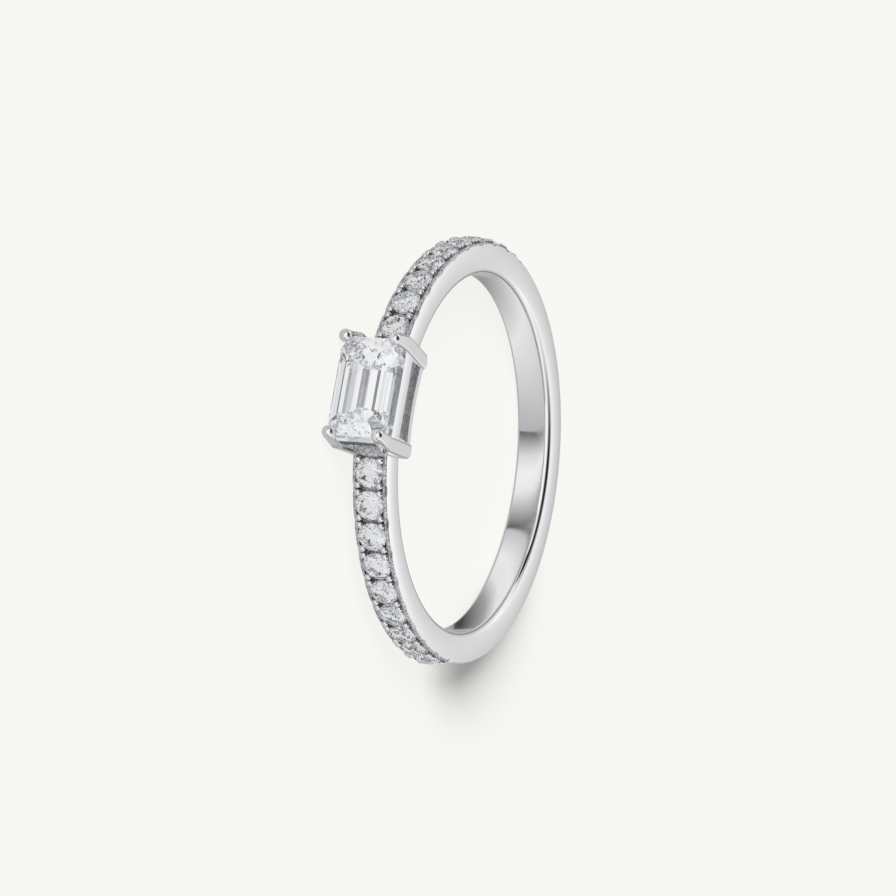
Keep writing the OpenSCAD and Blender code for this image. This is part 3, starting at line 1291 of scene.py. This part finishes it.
@dataclass
class RoundStones:
    """The small round stones in the shoulders, with the facets of a full round cut."""

    diameter: float = 1.36
    table: float = 0.56
    crown: float = 0.155
    girdle: float = 0.03
    pavilion: float = 0.42
    star: float = 0.78
    lower: float = 0.24

    def ring(self, count: int, radius: float, height: float, turn: float = 0) -> Piece:
        """Makes one ring of facet corners.

        Args:
            count: How many corners.
            radius: The ring's radius.
            height: Its height.
            turn: How far it is turned, in degrees.

        Returns:
            The ring.
        """
        ring = start_with("circle", "ring", vertices=count, radius=radius)
        ring.data.transform(
            Matrix.Translation((0, 0, height)) @ Matrix.Rotation(math.radians(turn), 4, "Z")
        )
        return ring

    def model(self) -> Piece:
        """Makes one stone at the origin, with its girdle at zero and its table up.

        Returns:
            The stone.
        """
        r = self.diameter / 2
        table, crown = r * self.table, self.diameter * self.crown
        deep, top = self.diameter * self.pavilion, self.diameter * self.girdle
        star = r * self.star
        half = math.cos(math.radians(22.5))
        star_h = top + crown * (r - star * half) / (r - table)
        low = r * self.lower
        low_h = -deep * (1 - low * half / r)
        rings = [
            self.ring(8, table, top + crown),
            self.ring(8, star, star_h, 22.5),
            self.ring(16, r, top),
            self.ring(16, r, 0),
            self.ring(8, low, low_h, 22.5),
            self.ring(3, 0.012, -deep),
        ]
        return hull_of("round_stone", rings)

    def build(self, shoulders: Shoulders, material: Material) -> list[Piece]:
        """Sets one stone in each seat, each turned a little differently.

        Args:
            shoulders: The shoulders, which give the seats.
            material: The stones' material.

        Returns:
            The finished stones.
        """
        model = self.model()
        stones = []
        for number, angle in enumerate(shoulders.angles(), start=1):
            place = outward(angle, shoulders.girdle_radius) @ Matrix.Rotation(
                math.radians(37 * number % 45), 4, "Z"
            )
            stone = copy_of(model, f"round_stone_{number:02d}", place)
            stone.data.materials.append(material)
            stones.append(finish(stone, None))
        drop(model)
        return stones


# ---- floor, light and camera ----


@dataclass(frozen=True)
class Card:
    """A light or dark card of the studio, seen only in the metal or through a stone.

    Azimuth and elevation give its middle's direction, in degrees, the halves and soft its
    size and soft edge, in degrees too, and level its grey.
    """

    azimuth: float
    elevation: float
    half_width: float
    half_height: float
    level: float
    soft: float = 4


@dataclass
class Studio:
    """Pale floor, soft light and the camera at the photograph's angle.

    The floor and the sky have one tone where they are seen, and others for the rays that
    the metal mirrors and for those that leave a stone. Lengths are in millimetres, angles
    in degrees. The rise is the sky's grey by elevation, the floor's reach and strips are
    its greys by distance and along X, and its tones are those inside the ring by angle.
    """

    camera_mm: tuple[float, float, float] = (283.58170, 68.28423, 142.46106)
    camera_turn: tuple[float, float, float] = (-7.958933, -63.600280, -157.560010)
    lens: float = 283.94
    pale: tuple[float, float, float, float] = (0.93, 0.93, 0.9, 1)
    key_share: float = 0.65
    key_from: tuple[float, float] = (-30, 31)
    key_width: float = 35
    overhead_from: tuple[float, float] = (-40, 81)
    overhead_edge: tuple[float, float] = (10, 50)
    rise: tuple[tuple[float, float], ...] = (
        (-15, 0.2), (-2, 0.12), (5, 0.3), (10, 0.58), (22, 0.76), (34, 1.08), (48, 0.85),
        (70, 0.7),
    )
    metal_cards: tuple[Card, ...] = (
        Card(14, 24, 30, 20, 1.05, 7),
        Card(-68, 52, 9, 24, 0.02, 6),
    )
    stone_cards: tuple[Card, ...] = (
        Card(-15, 17.5, 6, 2, 0.05, 2.5),
        Card(-17, 40.5, 6, 4, 0.3, 2.5),
        Card(-26, 61, 6, 3, 0.1, 4),
    )
    clear_rise: tuple[tuple[float, float], ...] = ((0.2, 0.85), (0.6, 0.95))
    clear_floor: float = 0.95
    strip_lean: float = 0.23
    strip_middle: float = 2.5
    strip_half: tuple[float, float] = (1.6, 1.9)
    shadow_middle: tuple[float, float] = (-9.2, 7.2)
    shadow_reach: tuple[float, float] = (2.8, 8)
    shadow_share: tuple[float, float] = (1.0, 0.08)
    wedge_middle: tuple[float, float] = (-4.15, -1.07)
    wedge_span: float = 120
    hole_edge: tuple[float, float] = (8.0, 8.3)
    floor_strips: tuple[tuple[float, float], ...] = (
        (13.3, 0.95), (13.45, 0.06), (13.95, 0.06), (14.1, 0.95), (15.1, 0.95), (15.3, 0.1),
        (15.8, 0.1), (16.0, 0.9), (19, 0.75), (20.5, 0.85), (20.7, 0.06), (21.5, 0.06),
        (21.7, 0.65), (23.5, 0.7), (27, 0.95),
    )
    floor_reach: tuple[tuple[float, float], ...] = (
        (9, 0.5), (13, 0.6), (18, 0.9), (30, 0.85), (60, 0.45), (100, 0.2),
    )
    floor_tones: tuple[tuple[float, float], ...] = (
        (-110, 0.34), (-80, 0.9), (-45, 0.6), (-29.8, 0.52), (-29.2, 0.13), (-25, 0.3), (-12, 0.8),
        (0, 1.0), (12, 0.92), (29, 0.3), (33, 0.12), (34.5, 0.6), (48, 0.93), (58, 0.88),
        (67, 0.4), (82, 0.07), (86, 0.07), (87, 0.37), (110, 0.5),
    )

    def camera(self) -> None:
        """Places the camera."""
        data = bpy.data.cameras.new("camera")
        data.lens = self.lens
        data.sensor_width = 36
        data.clip_start = 0.01
        data.clip_end = 20
        camera = bpy.data.objects.new("camera", data)
        bpy.context.collection.objects.link(camera)
        turn = Euler([math.radians(a) for a in self.camera_turn], "XYZ")
        camera.matrix_world = (
            Matrix.Translation(Vector(self.camera_mm) * MM) @ turn.to_matrix().to_4x4()
        )
        bpy.context.scene.camera = camera

    def key(self) -> None:
        """Adds the broad light that gives the faint shadow."""
        data = bpy.data.lights.new("key", "SUN")
        azimuth, elevation = (math.radians(a) for a in self.key_from)
        data.energy = self.key_share * math.pi / math.sin(elevation)
        data.angle = math.radians(self.key_width)
        key = bpy.data.objects.new("key", data)
        bpy.context.collection.objects.link(key)
        key.rotation_euler = (0, math.pi / 2 - elevation, azimuth)
        key.visible_glossy = False
        key.visible_transmission = False

    def sky(self) -> None:
        """Builds the studio around the ring: even for the floor, with cards for reflections."""
        world = bpy.data.worlds.new("studio")
        bpy.context.scene.world = world
        world.use_nodes = True
        nodes = Nodes(world.node_tree)
        way = nodes.add("TexCoord").outputs["Generated"]
        parts = nodes.add("SeparateXYZ")
        nodes.feed(parts.inputs[0], way)
        height = nodes.sums(
            "MULTIPLY_ADD", nodes.sums("ARCSINE", parts.outputs["Z"]), 1 / math.pi, 0.5
        )
        level = nodes.ramp(height, [((e + 90) / 180, grey) for e, grey in self.rise])
        level = self.overhead(nodes, way, level)
        for card in self.metal_cards:
            level = self.card(nodes, way, card, level)
        clear = nodes.ramp(height, self.clear_rise)
        for card in self.stone_cards:
            clear = self.card(nodes, way, card, clear)
        rays = nodes.add("LightPath")
        seen = nodes.choice(rays.outputs["Is Glossy Ray"], (1 - self.key_share,) * 3, level)
        seen = nodes.choice(rays.outputs["Is Transmission Ray"], seen, clear)
        background = nodes.add("Background")
        nodes.feed(background.inputs["Color"], seen)
        nodes.feed(nodes.add("OutputWorld").inputs["Surface"], background.outputs[0])

    def overhead(self, nodes: Nodes, way: object, level: object) -> Socket:
        """Darkens the sky overhead, as a round card that is black in its middle.

        Args:
            nodes: The nodes being laid.
            way: The direction that is seen.
            level: The sky's grey.

        Returns:
            The new grey.
        """
        azimuth, elevation = (math.radians(a) for a in self.overhead_from)
        dot = nodes.add("VectorMath", operation="DOT_PRODUCT")
        nodes.feed(dot.inputs[0], way)
        dot.inputs[1].default_value = (
            math.cos(elevation) * math.cos(azimuth),
            math.cos(elevation) * math.sin(azimuth),
            math.sin(elevation),
        )
        angle = nodes.sums("ARCCOSINE", dot.outputs["Value"])
        mask = nodes.between(angle, *(math.radians(a) for a in self.overhead_edge), 1, 0)
        return nodes.choice(mask, level, (0.0,) * 3)

    def card(self, nodes: Nodes, way: object, card: Card, level: object) -> Socket:
        """Lays one card over the sky's grey and returns the new grey.

        Args:
            nodes: The nodes being laid.
            way: The direction that is seen.
            card: The card.
            level: The sky's grey.

        Returns:
            The new grey.
        """
        turn = nodes.add("Mapping", vector_type="TEXTURE")
        nodes.feed(turn.inputs["Vector"], way)
        turn.inputs["Rotation"].default_value = (
            0,
            math.radians(-card.elevation),
            math.radians(card.azimuth),
        )
        parts = nodes.add("SeparateXYZ")
        nodes.feed(parts.inputs[0], turn.outputs[0])
        masks = [nodes.sums("GREATER_THAN", parts.outputs["X"], 0)]
        for axis, half in (("Y", card.half_width), ("Z", card.half_height)):
            angle = nodes.sums(
                "ABSOLUTE", nodes.sums("ARCTAN2", parts.outputs[axis], parts.outputs["X"])
            )
            edge = math.radians(half)
            masks.append(nodes.between(angle, edge, edge + math.radians(card.soft), 1, 0))
        mask = nodes.sums("MULTIPLY", nodes.sums("MULTIPLY", masks[0], masks[1]), masks[2])
        return nodes.choice(mask, level, (card.level,) * 3)

    def floor(self, height: float) -> None:
        """Lays the pale floor at a height.

        Args:
            height: The height, in metres.
        """
        floor = start_with("plane", "floor", size=3)
        floor.data.transform(Matrix.Translation((0, 0, height)))
        material = bpy.data.materials.new("pale_floor")
        material.use_nodes = True
        nodes = Nodes(material.node_tree)
        place = nodes.add("SeparateXYZ")
        nodes.feed(place.inputs[0], nodes.add("TexCoord").outputs["Object"])
        x, y = place.outputs["X"], place.outputs["Y"]
        near = nodes.distance(x, y, self.shadow_middle)
        low, high = (edge * MM for edge in self.shadow_reach)
        share = nodes.between(near, low, high, *self.shadow_share)
        matte = nodes.add("BsdfDiffuse")
        matte.inputs["Color"].default_value = self.pale
        glow = nodes.add("Emission")
        glow.inputs["Color"].default_value = self.pale
        shown = nodes.add("MixShader")
        nodes.feed(shown.inputs[0], share)
        nodes.feed(shown.inputs[1], glow.outputs[0])
        nodes.feed(shown.inputs[2], matte.outputs[0])
        rays = nodes.add("LightPath")
        through = rays.outputs["Is Transmission Ray"]
        mirrored = nodes.add("Emission")
        behind = self.floor_behind_stones(nodes, x, y)
        tone = nodes.choice(through, self.mirrored_floor(nodes, x, y), behind)
        nodes.feed(mirrored.inputs["Color"], tone)
        by_ray = nodes.add("MixShader")
        nodes.feed(by_ray.inputs[0], nodes.sums("MAXIMUM", rays.outputs["Is Glossy Ray"], through))
        nodes.feed(by_ray.inputs[1], shown.outputs[0])
        nodes.feed(by_ray.inputs[2], mirrored.outputs[0])
        nodes.feed(nodes.add("OutputMaterial").inputs["Surface"], by_ray.outputs[0])
        floor.data.materials.append(material)
        floor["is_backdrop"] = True

    def floor_behind_stones(self, nodes: Nodes, x: object, y: object) -> Socket:
        """Tone of the floor through a stone: dark strips across a narrow lane, else pale.

        Args:
            nodes: The nodes being laid.
            x: The floor's X, in metres.
            y: The floor's Y, in metres.

        Returns:
            The grey.
        """
        # These strips are painted reflections: the floor shows them only to rays through a stone,
        # to draw the dark lines in the large stone.
        strips = self.along(nodes, x, self.floor_strips)
        lean = nodes.sums("MULTIPLY_ADD", x, self.strip_lean, -self.strip_middle * MM)
        across = nodes.sums("ABSOLUTE", nodes.sums("ADD", y, lean))
        lane = nodes.between(across, *(edge * MM for edge in self.strip_half), 1, 0)
        return nodes.choice(lane, (self.clear_floor,) * 3, strips)

    def along(self, nodes: Nodes, length: object, stops: Iterable[tuple[float, float]]) -> Socket:
        """Maps a length on the floor to greys by stops given in millimetres, up to 100."""
        return nodes.ramp(
            nodes.sums("DIVIDE", length, 100 * MM), [(far / 100, grey) for far, grey in stops]
        )

    def mirrored_floor(self, nodes: Nodes, x: object, y: object) -> Socket:
        """Tone of the floor in reflections: shaded wedges inside the ring, even outside it.

        Args:
            nodes: The nodes being laid.
            x: The floor's X, in metres.
            y: The floor's Y, in metres.

        Returns:
            The grey.
        """
        # These greys are painted reflections: the floor shows them only to mirrored rays, to draw
        # the dark bands on the ring's inner wall.
        across = nodes.sums("SUBTRACT", self.wedge_middle[0] * MM, x)
        along = nodes.sums("SUBTRACT", y, self.wedge_middle[1] * MM)
        turn = nodes.sums("ARCTAN2", along, across)
        wedges = nodes.ramp(
            nodes.sums("MULTIPLY_ADD", turn, 0.5 / math.radians(self.wedge_span), 0.5),
            [(0.5 + angle / self.wedge_span / 2, grey) for angle, grey in self.floor_tones],
        )
        reach = nodes.distance(x, y, (0, 0))
        inside = nodes.between(reach, *(edge * MM for edge in self.hole_edge), 1, 0)
        return nodes.choice(inside, self.along(nodes, reach, self.floor_reach), wedges)

    def build(self, floor_height: float) -> None:
        """Sets up the whole studio.

        Args:
            floor_height: The floor's height, in metres.
        """
        self.camera()
        self.key()
        self.sky()
        self.floor(floor_height)
        scene = bpy.context.scene
        scene.view_settings.view_transform = "Standard"
        scene.cycles.max_bounces = 32
        scene.cycles.transmission_bounces = 24
        scene.cycles.glossy_bounces = 28
        scene.cycles.diffuse_bounces = 4


def main() -> None:
    """Builds the ring and its studio in order."""
    logging.basicConfig(level=logging.INFO, format="%(name)s: %(message)s")
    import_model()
    low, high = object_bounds()
    Studio().build(low[2])
    # Both metals without a buff are matte; their dark colours are painted shade on the faces that
    # take them.
    metal, matte_and_shade = PolishedMetal().make(), UnbuffedMetalAndShade().make()
    satin_and_shade = UnbuffedMetalAndShade("satin_metal_painted_shade", (0.6, 0.61, 0.63, 1), 0.4).make()
    clear = ClearStone().make()
    # Greyer tint than the large stone's: painted shade that darkens the small stones.
    small = ClearStone("small_clear_stone_shaded", tint=(0.86, 0.87, 0.89, 1)).make()
    shoulders, setting = Shoulders(), Setting()
    band = Band().build(shoulders, setting.room(), metal, satin_and_shade)
    head = setting.build(metal, matte_and_shade)
    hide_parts("band_and_setting")
    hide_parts("band_and_setting")
    shoulders.beads(metal, matte_and_shade)
    large = StepCutStone().build(clear)
    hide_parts("centre_stone")
    RoundStones().build(shoulders, small)
    low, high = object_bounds()


if __name__ == "__main__":
    main()
